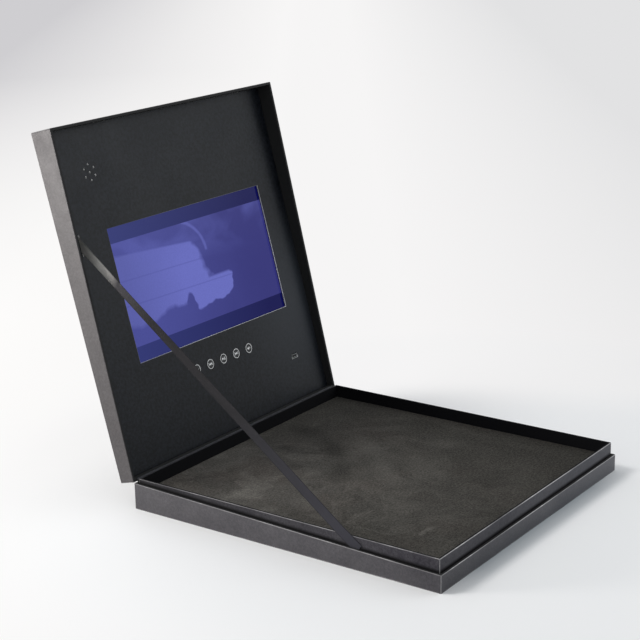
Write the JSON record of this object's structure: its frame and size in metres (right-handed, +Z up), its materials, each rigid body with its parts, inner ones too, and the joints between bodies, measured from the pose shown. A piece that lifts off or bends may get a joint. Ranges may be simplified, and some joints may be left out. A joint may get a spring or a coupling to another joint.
{
  "type": "video presentation box",
  "caption": "Shallow hinged presentation box of black paper-wrapped board, with a foam-lined tray, a ribbon lid stay, and a screen, speaker and push buttons in the lid.",
  "frame": {"origin": "middle of the base's underside", "axes": "+Z up; +Y towards the hinge; +X to the right for a person facing the open box from the front"},
  "size_m": [0.315, 0.4168, 0.3349],
  "materials": {
    "greyboard": "matte",
    "wrap_paper": "matte",
    "panel_paper": "matte",
    "button_card": "matte",
    "foam": "matte",
    "ribbon": "satin",
    "nickel_magnet": "satin",
    "steel_sheet": "satin",
    "aluminium_sheet": "satin",
    "display_glass": "gloss",
    "backlight_plastic": "satin",
    "adhesive_foam": "matte",
    "circuit_board": "satin",
    "black_plastic": "matte",
    "white_plastic": "matte",
    "flat_cable": "satin",
    "cone_paper": "matte",
    "cell_foil": "matte",
    "red_lead": "satin",
    "black_lead": "satin",
    "reed_glass": "gloss"
  },
  "bodies": {
    "base": {"base_board_tray": "greyboard", "base_wrap": "wrap_paper", "base_underside_paper": "wrap_paper", "inner_tray_board": "greyboard", "inner_tray_wrap": "wrap_paper", "switch_magnet": "nickel_magnet", "foam_pad": "foam", "ribbon_stay": "ribbon", "hinge_strip_outer": "wrap_paper", "hinge_strip_inner": "wrap_paper"},
    "lid": {"lid_board_tray": "greyboard", "lid_wrap": "wrap_paper", "screen_panel_board": "greyboard", "screen_panel_paper": "panel_paper", "panel_spacers": "greyboard", "lcd_frame": "steel_sheet", "lcd_glass": "display_glass", "lcd_backlight": "backlight_plastic", "lcd_back_plate": "aluminium_sheet", "lcd_tape": "adhesive_foam", "button_board": "circuit_board", "switch_housings": "black_plastic", "main_board": "circuit_board", "main_board_pads": "adhesive_foam", "main_board_chips": "black_plastic", "usb_socket_shell": "steel_sheet", "usb_socket_tongue": "black_plastic", "battery_plug": "white_plastic", "speaker_plug": "white_plastic", "lcd_cable_socket": "white_plastic", "lcd_flat_cable": "flat_cable", "button_flat_cable": "flat_cable", "speaker_frame": "black_plastic", "speaker_cone": "cone_paper", "speaker_magnet": "nickel_magnet", "speaker_pad": "adhesive_foam", "battery_cell": "cell_foil", "battery_tape": "adhesive_foam", "battery_lead_red": "red_lead", "battery_lead_black": "black_lead", "speaker_lead_red": "red_lead", "speaker_lead_black": "black_lead", "reed_board": "circuit_board", "reed_switch": "reed_glass", "reed_leads": "steel_sheet"},
    "button_1": {"button_cap_1": "button_card", "switch_plunger_1": "black_plastic"},
    "button_2": {"button_cap_2": "button_card", "switch_plunger_2": "black_plastic"},
    "button_3": {"button_cap_3": "button_card", "switch_plunger_3": "black_plastic"},
    "button_4": {"button_cap_4": "button_card", "switch_plunger_4": "black_plastic"},
    "button_5": {"button_cap_5": "button_card", "switch_plunger_5": "black_plastic"}
  },
  "joints": [
    {"name": "lid_hinge", "type": "hinge", "parent": "base", "child": "lid", "pos_m": [0, 0.15962, 0.0246], "axis": [1, 0, 0], "range_deg": [0, 105], "deforming": ["ribbon_stay", "hinge_strip_outer", "hinge_strip_inner"]},
    {"name": "button_1_press", "type": "slide", "parent": "lid", "child": "button_1", "axis": [0, 0.9659, -0.2588], "range_m": [0, 0.00025], "stiffness_N_per_m": 5000},
    {"name": "button_2_press", "type": "slide", "parent": "lid", "child": "button_2", "axis": [0, 0.9659, -0.2588], "range_m": [0, 0.00025], "stiffness_N_per_m": 5000},
    {"name": "button_3_press", "type": "slide", "parent": "lid", "child": "button_3", "axis": [0, 0.9659, -0.2588], "range_m": [0, 0.00025], "stiffness_N_per_m": 5000},
    {"name": "button_4_press", "type": "slide", "parent": "lid", "child": "button_4", "axis": [0, 0.9659, -0.2588], "range_m": [0, 0.00025], "stiffness_N_per_m": 5000},
    {"name": "button_5_press", "type": "slide", "parent": "lid", "child": "button_5", "axis": [0, 0.9659, -0.2588], "range_m": [0, 0.00025], "stiffness_N_per_m": 5000}
  ]
}
